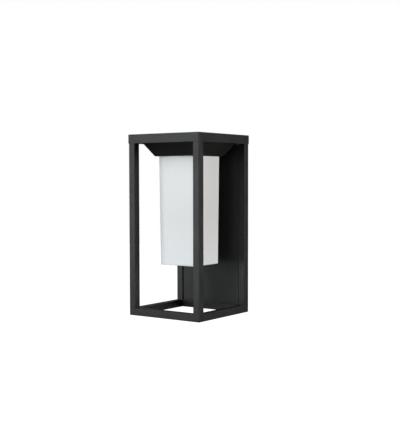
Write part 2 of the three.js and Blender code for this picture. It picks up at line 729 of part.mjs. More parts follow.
// Wall bracket: a plate with a lip at each end. The rear top rail hangs on the upper lip, and
// the two lock screws come up through the rear bottom rail into the lower lip.
const slotOutline = roundedRectangle(SLOT_LENGTH, SLOT_WIDTH, SLOT_WIDTH / 2 - 0.01);
function wallSlot(x, z) {
  return prism(slotOutline, -1, BRACKET_SHEET + 1).rotateX(Math.PI / 2).translate(x, 0, z);
}
const bracketHalf = BRACKET_WIDTH / 2;
const leadNotch = 2 * WIRE_HOLE;
const cableZ = MOUNT_HEIGHT - CABLE_HOLE_DROP;
const bracket = cut(
  block(-bracketHalf, bracketHalf, -BRACKET_LIP, 0, bracketBottom, bracketTop),
  block(-bracketHalf - 1, bracketHalf + 1, -BRACKET_LIP - 1, -BRACKET_SHEET,
    bracketBottom + BRACKET_SHEET, bracketTop - BRACKET_SHEET),
  block(-leadNotch, leadNotch, -BRACKET_LIP - 1, -BRACKET_SHEET,
    bracketTop - BRACKET_SHEET - 1, bracketTop + 1),
  wallSlot(0, MOUNT_HEIGHT + SLOT_PITCH_HIGH / 2),
  wallSlot(0, MOUNT_HEIGHT - SLOT_PITCH_HIGH / 2),
  wallSlot(-SLOT_PITCH_WIDE / 2, MOUNT_HEIGHT),
  wallSlot(SLOT_PITCH_WIDE / 2, MOUNT_HEIGHT),
  disc(CABLE_HOLE, -1, BRACKET_SHEET + 1).rotateX(Math.PI / 2).translate(0, 0, cableZ),
  disc(LOCK_SHANK + SCREW_FIT, bracketBottom - 1, bracketBottom + 3).translate(-lockX, lockY, 0),
  disc(LOCK_SHANK + SCREW_FIT, bracketBottom - 1, bracketBottom + 3).translate(lockX, lockY, 0),
);
place('wall_bracket', bracket, zincSteel);

// Rubber grommets: a membrane for the supply cable, and one where the leads leave the rail.
function grommet(hole, wall, bore) {
  return turnedRing([
    [bore, -GROMMET_LIP],
    [hole + 1.6, -GROMMET_LIP],
    [hole + 1.6, 0],
    [hole - SCREW_FIT, 0],
    [hole - SCREW_FIT, wall],
    [hole + 0.8, wall],
    [hole + 0.3, wall + GROMMET_LIP],
    [bore, wall + GROMMET_LIP],
  ]);
}
const cableMembrane = turnedRing([
  [MEMBRANE_BORE, BRACKET_SHEET * 0.4],
  [CABLE_HOLE - SCREW_FIT, 0],
  [CABLE_HOLE - SCREW_FIT, BRACKET_SHEET + 0.1],
  [CABLE_HOLE + 2, BRACKET_SHEET + 0.1],
  [CABLE_HOLE + 1.4, BRACKET_SHEET + 1.6],
  [CABLE_HOLE - 1.4, BRACKET_SHEET + 1.6],
  [MEMBRANE_BORE, BRACKET_SHEET * 0.4 + 0.8],
]).rotateX(Math.PI / 2);
place('cable_membrane', cableMembrane, blackRubber, 0, 0, cableZ);
const railGrommet = grommet(WIRE_HOLE, TUBE_WALL + 0.1, GROMMET_BORE).rotateX(-Math.PI / 2);
place('rail_grommet', railGrommet, blackRubber, 0, -TUBE - SEAM, topRailZ);

// Terminal block: three ways, lead holes above and below, screw wells in front.
const terminalBack = -BRACKET_SHEET - SEAM;
const terminalFront = terminalBack - TERMINAL_DEPTH;
const entryY = (terminalBack + terminalFront) / 2;
const ways = [-TERMINAL_PITCH, 0, TERMINAL_PITCH];
function screwWell() {
  return disc(SCREW_WELL, -1, SCREW_WELL_DEPTH, 8).rotateX(-Math.PI / 2);
}
const terminal = cut(
  block(-TERMINAL_WIDTH / 2, TERMINAL_WIDTH / 2, terminalFront, terminalBack,
    terminalZ - TERMINAL_HEIGHT / 2, terminalTop),
  ...ways.flatMap((x) => [
    disc(LEAD_ENTRY, terminalTop - 5, terminalTop + 1, 8).translate(x, entryY, 0),
    disc(LEAD_ENTRY, -1, 5, 8).translate(x, entryY, terminalZ - TERMINAL_HEIGHT / 2),
    screwWell().translate(x, terminalFront, terminalZ + TERMINAL_SCREW_RISE),
    screwWell().translate(x, terminalFront, terminalZ - TERMINAL_SCREW_RISE),
  ]),
);
place('terminal_block', terminal, whitePlastic);

// Leads: from the terminal block up behind the panel, through the rear top rail, over the tray.
function point(x, y, z) {
  return new THREE.Vector3(x, y, z);
}
// The three leads run as a bundle: two side by side, and the earth lead on the outside of bends.
function riser(way, [spread, outward]) {
  return [
    point(way, entryY, terminalTop - 4),
    point(way, entryY, terminalTop + 6),
    point(way * 0.7, entryY, terminalTop + 40),
    point(spread, entryY + outward, railUnder - 40),
    point(spread, rearY + outward, railUnder - 8),
    point(spread, rearY + outward, railUnder + TUBE_WALL),
  ];
}
function throughRail([spread, outward]) {
  return [
    point(spread, rearY - 1.3 + outward * 0.7, topRailZ - 1.3 + outward * 0.7),
    point(spread, -TUBE + TUBE_WALL, topRailZ + outward),
    point(spread, -TUBE - 8, topRailZ + outward),
  ];
}
function lampLead(way, bundled, side) {
  const high = (nippleTop + railTop) / 2;
  return lead([
    ...riser(way, bundled),
    ...throughRail(bundled),
    point(bundled[0] * 1.2 - 8, middleY * 0.6, high),
    point(side, middleY + 6, high),
    point(side, middleY + 1.2, high - 2),
    point(side, middleY, nippleTop - 1),
    point(side, middleY, nippleBottom + 1),
    point(side, middleY, coreTop + 4),
    point(side, middleY, coreTop - 3.4),
  ]);
}
const leadSide = NIPPLE_BORE / 2;
place('lead_live', lampLead(-TERMINAL_PITCH, [-1.3, -0.75], -leadSide), brownLead);
place('lead_neutral', lampLead(TERMINAL_PITCH, [1.3, -0.75], leadSide), blueLead);

// The earth lead ends in a ring tag under its own screw on the tray.
const tagBottom = trayTop + 0.1;
const tagTop = tagBottom + TAG_SHEET;
const tag = cut(
  join(
    disc(TAG_RADIUS, tagBottom, tagTop),
    block(-1.3, 1.3, 2, TAG_TAIL, tagBottom, tagTop),
  ),
  disc(SMALL_SHANK + SCREW_FIT, trayTop - 1, tagTop + 1),
);
place('earth_tag', tag, brass, earthX, middleY, 0);
const earthScrew = panHead(SMALL_HEAD, SMALL_SHANK, PAN_HEIGHT, TRAY_SHEET + 3);
place('earth_screw', earthScrew, brass, earthX, middleY, tagTop + SEAM);
place('lead_earth', lead([
  ...riser(0, [0, 1.7]),
  ...throughRail([0, 1.7]),
  point(9, -TUBE - 24, topRailZ + 1),
  point(earthX * 0.8, middleY + 26, trayTop + 6),
  point(earthX, middleY + 16, tagTop + LEAD_RADIUS + 0.2),
  point(earthX, middleY + 6, tagTop + LEAD_RADIUS + 0.2),
]), earthLead);

export default lantern;
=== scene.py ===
import bmesh
import bpy
import math
from mathutils import Matrix, Vector


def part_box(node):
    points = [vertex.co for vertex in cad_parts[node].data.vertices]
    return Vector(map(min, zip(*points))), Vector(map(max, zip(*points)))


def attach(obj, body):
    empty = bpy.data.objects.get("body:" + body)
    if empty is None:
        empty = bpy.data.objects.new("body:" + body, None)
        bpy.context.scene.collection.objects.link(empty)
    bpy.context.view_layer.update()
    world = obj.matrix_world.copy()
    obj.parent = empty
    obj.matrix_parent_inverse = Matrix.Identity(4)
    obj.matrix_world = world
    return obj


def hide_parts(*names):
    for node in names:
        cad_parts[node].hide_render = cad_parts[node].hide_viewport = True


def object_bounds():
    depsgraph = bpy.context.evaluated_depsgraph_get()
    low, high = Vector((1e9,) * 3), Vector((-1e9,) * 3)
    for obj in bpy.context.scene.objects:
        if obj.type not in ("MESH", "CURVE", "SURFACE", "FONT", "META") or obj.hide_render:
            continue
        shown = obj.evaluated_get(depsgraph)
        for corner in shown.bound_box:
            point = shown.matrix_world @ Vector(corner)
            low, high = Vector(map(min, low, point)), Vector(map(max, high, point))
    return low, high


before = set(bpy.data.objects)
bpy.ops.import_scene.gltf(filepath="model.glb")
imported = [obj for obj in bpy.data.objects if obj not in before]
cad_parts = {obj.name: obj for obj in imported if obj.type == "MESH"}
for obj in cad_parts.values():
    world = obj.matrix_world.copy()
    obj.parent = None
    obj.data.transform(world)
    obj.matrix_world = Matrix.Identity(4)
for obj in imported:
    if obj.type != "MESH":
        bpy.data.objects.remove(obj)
cad_box = [list(corner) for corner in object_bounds()]


# ---- Cage ----
# Twelve lengths of square steel tube, welded into one frame, with the welds ground flush and the
# whole frame powder coated, so that no seam shows. It is shaped whole, then parted at the welds.

def take(piece):
    """Makes a piece the only selected one."""
    bpy.ops.object.select_all(action="DESELECT")
    piece.select_set(True)
    bpy.context.view_layer.objects.active = piece


def block(name, low, high):
    """A box between two corners."""
    bpy.ops.object.select_all(action="DESELECT")
    size = [b - a for a, b in zip(low, high)]
    middle = [(a + b) / 2 for a, b in zip(low, high)]
    bpy.ops.mesh.primitive_cube_add(size=1, location=middle, scale=size)
    bpy.ops.object.transform_apply(location=True, rotation=True, scale=True)
    piece = bpy.context.object
    piece.name = piece.data.name = name
    return piece


def rod(name, radius, start, end, sides=48, end_radius=None):
    """A straight round bar, or a cone, from one point to another."""
    bpy.ops.object.select_all(action="DESELECT")
    along = Vector(end) - Vector(start)
    turn = along.to_track_quat("Z", "Y").to_euler()
    bpy.ops.mesh.primitive_cone_add(
        vertices=sides, radius1=radius, radius2=radius if end_radius is None else end_radius,
        depth=along.length, location=Vector(start) + along / 2, rotation=turn)
    bpy.ops.object.transform_apply(location=True, rotation=True, scale=True)
    piece = bpy.context.object
    piece.name = piece.data.name = name
    return piece


def apply(piece, kind, **settings):
    """Adds one modifier to a piece and applies it."""
    take(piece)
    modifier = piece.modifiers.new(kind.lower(), kind)
    for key, value in settings.items():
        setattr(modifier, key, value)
    bpy.ops.object.modifier_apply(modifier=modifier.name)


def carve(piece, *cutters):
    """Takes the shape of each cutter out of a piece."""
    for cutter in cutters:
        apply(piece, "BOOLEAN", object=cutter, operation="DIFFERENCE", solver="EXACT")
        bpy.data.objects.remove(cutter)


def soften(piece, radius, segments=3, angle=30):
    """Rounds all the edges of a piece that are sharper than an angle."""
    apply(piece, "BEVEL", width=radius, segments=segments, limit_method="ANGLE",
          angle_limit=math.radians(angle))


def smooth(piece, angle=35):
    """Shades gentle edges smooth, and keeps the flat faces flat."""
    take(piece)
    bpy.ops.object.shade_smooth_by_angle(angle=math.radians(angle))
    apply(piece, "WEIGHTED_NORMAL", keep_sharp=True)


def fit(piece, body, slot, finish, *nodes):
    """Gives a finished piece its finish and its body, and hides the CAD nodes that it stands for."""
    piece.data.materials.clear()
    piece.data.materials.append(finish)
    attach(piece, body)
    if nodes:
        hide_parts(*nodes)


def add(material, kind, sockets=None, **settings):
    """Adds a node to a material, with its properties, and its sockets set or joined."""
    tree = material.node_tree
    node = tree.nodes.new("ShaderNode" + kind)
    for key, value in settings.items():
        setattr(node, key, value)
    for key, value in (sockets or {}).items():
        if isinstance(value, bpy.types.NodeSocket):
            tree.links.new(value, node.inputs[key])
        else:
            node.inputs[key].default_value = value
    return node


def surface(name, colour, roughness, metallic=0.0, grain=0.0004, depth=0.00003, patch=0.02,
            tone=0.12, gloss=0.05, stretch=(1, 1, 1), specular=0.5):
    """A finish with a fine grain that stands proud, and patches that vary in tone and gloss."""
    material = bpy.data.materials.new(name)
    material.use_nodes = True
    links = material.node_tree.links
    shader = material.node_tree.nodes["Principled BSDF"]
    shader.inputs["Metallic"].default_value = metallic
    shader.inputs["Specular IOR Level"].default_value = specular
    place = add(material, "TexCoord").outputs["Object"]
    laid = add(material, "Mapping", {"Vector": place, "Scale": stretch}).outputs["Vector"]
    fine = add(material, "TexNoise", {"Vector": laid, "Scale": 1 / grain, "Detail": 2})
    broad = add(material, "TexNoise", {"Vector": laid, "Scale": 1 / patch, "Detail": 4})
    both = add(material, "Mix", {"Factor": 0.35, "A": broad.outputs[0],
                                 "B": fine.outputs[0]})
    shades = add(material, "ValToRGB", {"Fac": both.outputs[0]})
    for stop, position, share in zip(shades.color_ramp.elements, (0.3, 0.7), (-tone, tone)):
        stop.position = position
        stop.color = [min(1, c * (1 + share)) for c in colour] + [1]
    links.new(shades.outputs["Color"], shader.inputs["Base Color"])
    rough = add(material, "MapRange", {
        "Value": broad.outputs[0], "From Min": 0.3, "From Max": 0.7,
        "To Min": roughness - gloss, "To Max": roughness + gloss})
    links.new(rough.outputs["Result"], shader.inputs["Roughness"])
    bump = add(material, "Bump", {"Height": fine.outputs[0], "Distance": depth, "Strength": 1})
    links.new(bump.outputs["Normal"], shader.inputs["Normal"])
    return material


powder_coat = surface("black_powder_coat", (0.0124, 0.0126, 0.0119), 0.4, grain=0.0005,
                      depth=0.00006, patch=0.03, tone=0.2, gloss=0.04, specular=0.3)
black_plastic = surface("black_plastic", (0.012, 0.012, 0.012), 0.45,
                        grain=0.0003, depth=0.00002, patch=0.01, tone=0.15)

cage_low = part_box("post_front_left")[0]
cage_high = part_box("post_rear_right")[1]
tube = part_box("post_front_left")[1][0] - cage_low[0]
tube_wall = 0.0012
tube_corner = 0.0008
weld = 0.00002
past = 0.001  # how far a cutter reaches past the face that it cuts
plug_rim, plug_dish = 0.0014, 0.0006
lock_x, lock_y = 0.035, -0.005
lock_hole, lock_sink, lock_sink_depth = 0.0022, 0.0043, 0.002
lead_hole, screw_hole = 0.0038, 0.0017

cage = block("cage", cage_low, cage_high)
for axis in range(3):
    low = [a + tube for a in cage_low]
    high = [b - tube for b in cage_high]
    low[axis] = cage_low[axis] - tube
    high[axis] = cage_high[axis] + tube
    carve(cage, block("window", low, high))
soften(cage, tube_corner, segments=4)


def tube_length(name, node, axis):
    """One length of the cage along an axis, cut off at its two welds and bored hollow."""
    low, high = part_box(node)
    slack = tube / 4
    piece = cage.copy()
    piece.data = cage.data.copy()
    piece.name = piece.data.name = name
    bpy.context.collection.objects.link(piece)
    take(piece)
    bpy.ops.object.mode_set(mode="EDIT")
    for side in range(3):
        reach = weld if axis == 2 else -weld if side == axis else slack
        for edge, way in ((low, -1), (high, 1)):
            point = Vector(edge)
            point[side] += way * reach
            if cage_low[side] < point[side] < cage_high[side]:
                outwards = [way if i == side else 0 for i in range(3)]
                bpy.ops.mesh.select_all(action="SELECT")
                bpy.ops.mesh.bisect(plane_co=point, plane_no=outwards, use_fill=True,
                                    clear_outer=True, threshold=0.000001)
    bpy.ops.object.mode_set(mode="OBJECT")
    bore_low = [a + tube_wall for a in low]
    bore_high = [b - tube_wall for b in high]
    bore_low[axis] = low[axis] - tube
    bore_high[axis] = high[axis] + tube
    carve(piece, block("bore", bore_low, bore_high))
    return piece


for depth in ("front", "rear"):
    for side in ("left", "right"):
        node = f"post_{depth}_{side}"
        post = tube_length(f"{depth}_{side}_post", node, 2)
        smooth(post)
        fit(post, "lantern", "black_powder_coat", powder_coat, node)

        # A moulded plug closes the foot of each post, with a shallow dish in its face.
        low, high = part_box(f"foot_plug_{depth}_{side}")
        plug = block(f"{depth}_{side}_foot_plug", low, high)
        take(plug)
        bpy.ops.object.mode_set(mode="EDIT")
        bpy.ops.mesh.select_mode(type="FACE")
        bpy.ops.mesh.select_all(action="DESELECT")
        mesh = bmesh.from_edit_mesh(plug.data)
        for face in mesh.faces:
            face.select_set(face.normal.z < -0.5)
        bmesh.update_edit_mesh(plug.data)
        bpy.ops.mesh.inset(thickness=plug_rim)
        bpy.ops.mesh.extrude_region_move(TRANSFORM_OT_translate={"value": (0, 0, plug_dish)})
        bpy.ops.object.mode_set(mode="OBJECT")
        soften(plug, 0.0003)
        smooth(plug)
        fit(plug, "lantern", "black_plastic", black_plastic, f"foot_plug_{depth}_{side}")

rails = {}
for level in ("bottom", "top"):
    for side, axis in (("front", 0), ("rear", 0), ("left", 1), ("right", 1)):
        node = f"{level}_rail_{side}"
        rails[node] = tube_length(f"{level}_{side}_rail", node, axis)

# The rear rails are drilled for the lock screws below and for the leads above.
lock_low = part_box("bottom_rail_rear")[0].z
for x in (-lock_x, lock_x):
    carve(rails["bottom_rail_rear"],
          rod("drill", lock_hole, (x, lock_y, lock_low - past), (x, lock_y, lock_low + 0.014)),
          rod("sink", lock_sink, (x, lock_y, lock_low - 0.0001),
              (x, lock_y, lock_low + lock_sink_depth), end_radius=lock_hole))
lead_z = (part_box("top_rail_rear")[0].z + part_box("top_rail_rear")[1].z) / 2
lead_y = -tube / 2
carve(rails["top_rail_rear"],
      rod("drill", lead_hole, (0, -tube - past, lead_z), (0, -tube + 0.003, lead_z)),
      rod("drill", lead_hole, (0, lead_y, lead_z), (0, lead_y, lead_z - tube)))

# The side top rails are drilled for the cap's screws and the hopper's screws.
for side in ("left", "right"):
    rail = rails[f"top_rail_{side}"]
    for end in ("front", "rear"):
        for kind in ("cap", "hopper"):
            low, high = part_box(f"{kind}_screw_{end}_{side}")
            x, y = (low.x + high.x) / 2, (low.y + high.y) / 2
            carve(rail, rod("drill", screw_hole, (x, y, low.z - past), (x, y, high.z + past)))
for node, rail in rails.items():
    smooth(rail)
    fit(rail, "lantern", "black_powder_coat", powder_coat, node)
bpy.data.objects.remove(cage)


# ---- Cap ----
# A lid of folded sheet steel that fits over the top rails, with a skirt at the front and both
# sides and none against the wall. It is powder coated and held by four countersunk screws.

def shape(piece, kind, test):
    """In edit mode, selects just the faces, edges or verts of a piece that pass the test."""
    if piece.mode != "EDIT":
        take(piece)
        bpy.ops.object.mode_set(mode="EDIT")
    bpy.ops.mesh.select_mode(type=kind[:-1].upper())
    bpy.ops.mesh.select_all(action="DESELECT")
    mesh = bmesh.from_edit_mesh(piece.data)
    for item in getattr(mesh, kind):
        item.select_set(test(item))
    bmesh.update_edit_mesh(piece.data)


def finished():
    """Leaves edit mode."""
    bpy.ops.object.mode_set(mode="OBJECT")


def near(a, b):
    """True where two measures agree to a hundredth of a millimetre."""
    return abs(a - b) < 0.00001


def along(edge, axis):
    """True for an edge that runs along an axis."""
    run = edge.verts[0].co - edge.verts[1].co
    return abs(run[axis]) > 0.999 * run.length


def all_at(item, axis, place):
    """True where every corner of an edge or face lies at a place along an axis."""
    return all(near(vert.co[axis], place) for vert in item.verts)


cap_sheet = 0.0008
cap_low, cap_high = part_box("top_cap")
cap = block("cap", cap_low, cap_high)
shape(cap, "faces", lambda face: face.normal.z < -0.5 or face.normal.y > 0.5)
bpy.ops.mesh.delete(type="FACE")
shape(cap, "edges", lambda edge: along(edge, 2) and all_at(edge, 1, cap_low.y))
bpy.ops.mesh.bevel(offset=0.0014, segments=5)
shape(cap, "edges", lambda edge: all_at(edge, 2, cap_high.z) and not all_at(edge, 1, cap_high.y))
bpy.ops.mesh.bevel(offset=0.001, segments=4)
finished()
apply(cap, "SOLIDIFY", thickness=cap_sheet, offset=-1, use_even_offset=True)
soften(cap, 0.00015, segments=2, angle=60)


def turned(name, outline, sides=48):
    """A round piece about the Z axis: its [radius, height] outline is drawn and spun."""
    bpy.ops.object.select_all(action="DESELECT")
    radius, height = outline[0]
    bpy.ops.mesh.primitive_plane_add(size=0.001, location=(radius, 0, height))
    bpy.ops.object.transform_apply(location=True, rotation=True, scale=True)
    piece = bpy.context.object
    piece.name = piece.data.name = name
    bpy.ops.object.mode_set(mode="EDIT")
    bpy.ops.mesh.select_mode(type="VERT")
    bpy.ops.mesh.select_all(action="SELECT")
    bpy.ops.mesh.merge(type="CENTER")
    for before, after in zip(outline, outline[1:]):
        step = (after[0] - before[0], 0, after[1] - before[1])
        bpy.ops.mesh.extrude_vertices_move(TRANSFORM_OT_translate={"value": step})
    bpy.ops.mesh.select_all(action="SELECT")
    bpy.ops.mesh.spin(steps=sides, angle=math.tau, center=(0, 0, 0), axis=(0, 0, 1))
    bpy.ops.mesh.select_all(action="SELECT")
    bpy.ops.mesh.remove_doubles(threshold=0.000002)
    bpy.ops.mesh.normals_make_consistent(inside=False)
    finished()
    return piece


def stand(piece, place, turn=None):
    """Turns a piece about the origin and carries it to its place."""
    piece.data.transform(Matrix.Translation(place) @ (turn or Matrix.Identity(4)))


def twin(piece, name):
    """A copy of a piece, with a mesh of its own."""
    copy = piece.copy()
    copy.data = piece.data.copy()
    copy.name = copy.data.name = name
    bpy.context.collection.objects.link(copy)
    return copy


def countersunk_screw(name, head, shank, length, socket):
    """A screw that points down from a flat head at height 0, with a hexagon socket."""
    sink = head - shank
    lip = 0.00025
    screw = turned(name, [
        (0, -length), (shank * 0.6, -length), (shank, -length + shank * 0.7),
        (shank, -sink - lip), (head, -lip), (head, -0.00008), (head - 0.00008, 0), (0, 0)])
    carve(screw, rod("key", socket, (0, 0, 0.001), (0, 0, -sink), sides=6))
    smooth(screw)
    return screw


upside_down = Matrix.Rotation(math.pi, 4, "X")
stainless = surface("stainless_steel", (0.56, 0.56, 0.55), 0.28, metallic=1.0,
                    grain=0.0002, depth=0.000003, patch=0.004, tone=0.08, stretch=(1, 1, 0.15))
small_head, small_shank, small_socket = 0.0029, 0.0015, 0.0011
seat_gap, seat_depth, seat_drill = 0.0002, 0.0014, 0.002
head_sunk = 0.00005


def small_screws(kind, sheet, way):
    """Four small screws sunk flush in a sheet, and their holes. Heads are up for way 1, else down."""
    low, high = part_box(f"{kind}_screw_front_left")
    pattern = countersunk_screw(f"{kind}_screw", small_head, small_shank, high.z - low.z,
                                small_socket)
    for end in ("front", "rear"):
        for side in ("left", "right"):
            low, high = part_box(f"{kind}_screw_{end}_{side}")
            x, y = (low.x + high.x) / 2, (low.y + high.y) / 2
            face = high.z if way == 1 else low.z
            carve(sheet,
                  rod("drill", small_shank + seat_gap, (x, y, face + way * past),
                      (x, y, face - way * seat_drill)),
                  rod("sink", small_head + seat_gap, (x, y, face + way * 0.00001),
                      (x, y, face - way * seat_depth), end_radius=small_shank + seat_gap))
            screw = twin(pattern, f"{end}_{side}_{kind}_screw")
            stand(screw, (x, y, face - way * head_sunk), None if way == 1 else upside_down)
            fit(screw, "lantern", "stainless_steel", stainless, f"{kind}_screw_{end}_{side}")
    bpy.data.objects.remove(pattern)


small_screws("cap", cap, 1)
smooth(cap)
fit(cap, "lantern", "black_powder_coat", powder_coat, "top_cap")


# ---- Hopper ----
# An upside-down pyramid of folded sheet under the cap, with a square mouth for the diffuser. Its
# flange is notched round the posts and screwed up into the side rails. Powder coated.

hopper_sheet = 0.001
floor_half = 0.04
mouth_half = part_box("diffuser")[1].x + 0.0005
hopper_low, hopper_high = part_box("hopper")
middle_y = (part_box("diffuser")[0].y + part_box("diffuser")[1].y) / 2
flange_under = hopper_high.z - hopper_sheet
rim_gap = 0.0035
rim_x = cage_high.x - tube - rim_gap
rim_y = (cage_high.y - cage_low.y) / 2 - tube - rim_gap


def set_outline(piece, x0, x1, y0, y1, z):
    """Carries the selected square outline to the sides of a rectangle."""
    mesh = bmesh.from_edit_mesh(piece.data)
    for vert in mesh.verts:
        if vert.select:
            vert.co = (x1 if vert.co.x > 0 else x0, y1 if vert.co.y > middle_y else y0, z)
    bmesh.update_edit_mesh(piece.data)


bpy.ops.object.select_all(action="DESELECT")
bpy.ops.mesh.primitive_plane_add(size=2 * floor_half, location=(0, middle_y, hopper_low.z))
bpy.ops.object.transform_apply(location=True, rotation=True, scale=True)
hopper = bpy.context.object
hopper.name = hopper.data.name = "hopper_shell"
shape(hopper, "faces", lambda face: True)
bpy.ops.mesh.flip_normals()
bpy.ops.mesh.inset(thickness=floor_half - mouth_half)
bpy.ops.mesh.delete(type="FACE")
shape(hopper, "edges", lambda edge: edge.is_boundary and max(
    abs(edge.verts[0].co.x), abs(edge.verts[0].co.y - middle_y)) > floor_half - 0.0001)
bpy.ops.mesh.extrude_edges_move(TRANSFORM_OT_translate={"value": (0, 0, 0.001)})
set_outline(hopper, -rim_x, rim_x, middle_y - rim_y, middle_y + rim_y, flange_under)
bpy.ops.mesh.extrude_edges_move(TRANSFORM_OT_translate={"value": (0, 0, 0.001)})
set_outline(hopper, hopper_low.x, hopper_high.x, hopper_low.y, hopper_high.y, flange_under)
bend = 0.0012


def is_bend(edge):
    """True for an edge along which the hopper's sheet is folded."""
    a, b = (vert.co for vert in edge.verts)
    if edge.is_boundary:
        return False
    inside = max(abs(a.x), abs(b.x)) < rim_x + 0.0001
    level = near(a.z, b.z)
    flat_corner = level and not near(a.x, b.x) and not near(a.y, b.y)
    return inside and not flat_corner


shape(hopper, "edges", is_bend)
bpy.ops.mesh.bevel(offset=bend, segments=4)
finished()
apply(hopper, "SOLIDIFY", thickness=hopper_sheet, offset=-1, use_even_offset=True)
notch = tube + 0.0003
for x, past_x in ((cage_low.x + notch, hopper_low.x - 0.01),
                  (cage_high.x - notch, hopper_high.x + 0.01)):
    for y, past_y in ((cage_low.y + notch, hopper_low.y - 0.01), (-notch, hopper_high.y + 0.01)):
        carve(hopper, block("notch", (min(x, past_x), min(y, past_y), flange_under - past),
                            (max(x, past_x), max(y, past_y), hopper_high.z + past)))
small_screws("hopper", hopper, -1)
soften(hopper, 0.00012, segments=2, angle=60)
smooth(hopper)
fit(hopper, "lantern", "black_powder_coat", powder_coat, "hopper")


# ---- Collar, springs, tray and gasket ----
# A zinc-plated sleeve stands on the hopper's floor round its mouth, with a leaf spring in a window
# at each side. A white-painted tray closes it, above a silicone gasket that meets the diffuser.

def refined(name, node, radius, segments=2, angle=40):
    """A copy of a CAD node, its corners merged, its flat faces made whole and its edges rounded."""
    piece = bpy.data.objects.new(name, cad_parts[node].data.copy())
    piece.data.name = name
    bpy.context.collection.objects.link(piece)
    take(piece)
    bpy.ops.object.mode_set(mode="EDIT")
    bpy.ops.mesh.select_all(action="SELECT")
    bpy.ops.mesh.remove_doubles(threshold=0.000002)
    bpy.ops.mesh.dissolve_limited(angle_limit=math.radians(1))
    finished()
    soften(piece, radius, segments, angle)
    smooth(piece, angle)
    return piece


def pan_screw(name, head, shank, head_height, length):
    """A screw that points down, with a domed head above height 0 and a cross recess."""
    dome = [(head * math.cos(angle), head_height * (0.4 + 0.6 * math.sin(angle)))
            for angle in [math.radians(step) for step in range(0, 90, 10)]]
    screw = turned(name, [(0, -length), (shank * 0.6, -length), (shank, -length + shank * 0.7),
                          (shank, 0), (head, 0), *dome, (0, head_height)])
    slot, deep = head * 0.16, head_height * 0.45
    for half_x, half_y in ((slot, head * 0.6), (head * 0.6, slot)):
        carve(screw, block("driver", (-half_x, -half_y, deep), (half_x, half_y, head_height * 2)))
    smooth(screw)
    return screw


zinc = surface("zinc_plate", (0.46, 0.48, 0.5), 0.42, metallic=1.0, grain=0.0006,
               depth=0.000003, patch=0.004, tone=0.1, gloss=0.04)
white_paint = surface("white_paint", (0.78, 0.78, 0.76), 0.45, grain=0.0007, depth=0.00002,
                      patch=0.02, tone=0.03)
white_silicone = surface("white_silicone", (0.72, 0.72, 0.7), 0.7, grain=0.0004, depth=0.00001,
                         patch=0.01, tone=0.04)

fit(refined("collar_sleeve", "diffuser_collar", 0.0002), "lantern", "zinc_steel", zinc,
    "diffuser_collar")
for side in ("left", "right"):
    fit(refined(f"{side}_leaf_spring", f"spring_clip_{side}", 0.0001), "lantern",
        "stainless_steel", stainless, f"spring_clip_{side}")
fit(refined("tray", "gear_tray", 0.00025), "lantern", "white_paint", white_paint, "gear_tray")
fit(refined("rim_gasket", "diffuser_gasket", 0.0006, segments=4), "lantern", "white_silicone",
    white_silicone, "diffuser_gasket")
pan_height = 0.002
for end in ("front", "rear"):
    low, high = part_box(f"tray_screw_{end}")
    under = high.z - pan_height
    screw = pan_screw(f"{end}_tray_screw", small_head, small_shank, pan_height, under - low.z)
    stand(screw, ((low.x + high.x) / 2, (low.y + high.y) / 2, under))
    fit(screw, "lantern", "zinc_steel", zinc, f"tray_screw_{end}")


# ---- Lampholder ----
# A black thermoset dome and skirt hung from the tray on a hollow threaded nipple with a nut.
# Inside are a porcelain core, a rolled brass shell for the lamp's thread, and a sprung contact.

def press_thread(piece, low, high, pitch, deep):
    """Presses a right-hand thread into a round wall, running out at both ends."""
    for vert in piece.data.vertices:
        radius = math.hypot(vert.co.x, vert.co.y)
        if low < vert.co.z < high:
            run_out = min(1, (vert.co.z - low) / pitch, (high - vert.co.z) / pitch)
            turn = math.tau * vert.co.z / pitch - math.atan2(vert.co.y, vert.co.x)
            vert.co.xy *= 1 - run_out * deep * (1 - math.cos(turn)) / 2 / radius


def wall(radius, start, end, step):
    """Outline points straight up or down a wall, about a step apart."""
    count = math.ceil(abs(end - start) / step)
    return [(radius, start + (end - start) * i / count) for i in range(count + 1)]


brass = surface("brass", (0.62, 0.43, 0.16), 0.3, metallic=1.0, grain=0.0003, depth=0.000003,
                patch=0.005, tone=0.1)
porcelain = surface("porcelain", (0.78, 0.74, 0.64), 0.3, grain=0.001, depth=0.00001,
                    patch=0.008, tone=0.04)
axis_place = (0, middle_y, 0)


def on_axis(piece, body, slot, finish, node, angle=35):
    """Carries a round piece to the lamp's axis, shades it and fits it."""
    stand(piece, axis_place)
    smooth(piece, angle)
    fit(piece, body, slot, finish, node)


low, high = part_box("holder_nipple")
nipple_radius, nipple_bore, nipple_pitch = high.x, 0.0038, 0.001
nipple = turned("threaded_nipple", [
    (nipple_bore, low.z), *wall(nipple_radius, low.z, high.z, nipple_pitch / 8),
    (nipple_bore, high.z), (nipple_bore, low.z)], sides=40)
press_thread(nipple, low.z, high.z, nipple_pitch, 0.0004)
on_axis(nipple, "lantern", "zinc_steel", zinc, "holder_nipple", angle=60)

low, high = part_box("nipple_nut")
nut_half, nut_face, nut_chamfer = 0.007, 0.0068, 0.0007
nut_corner = nut_half * 2 / math.sqrt(3)
nut = rod("holder_nut", nut_corner, (0, 0, low.z), (0, 0, high.z), sides=6)
barrel = turned("barrel", [
    (0, low.z), (nut_face, low.z), (nut_corner, low.z + nut_chamfer),
    (nut_corner, high.z - nut_chamfer), (nut_face, high.z), (0, high.z)])
apply(nut, "BOOLEAN", object=barrel, operation="INTERSECT", solver="EXACT")
bpy.data.objects.remove(barrel)
carve(nut, rod("tap", nipple_radius + 0.0002, (0, 0, low.z - past), (0, 0, high.z + past)))
on_axis(nut, "lantern", "zinc_steel", zinc, "nipple_nut")

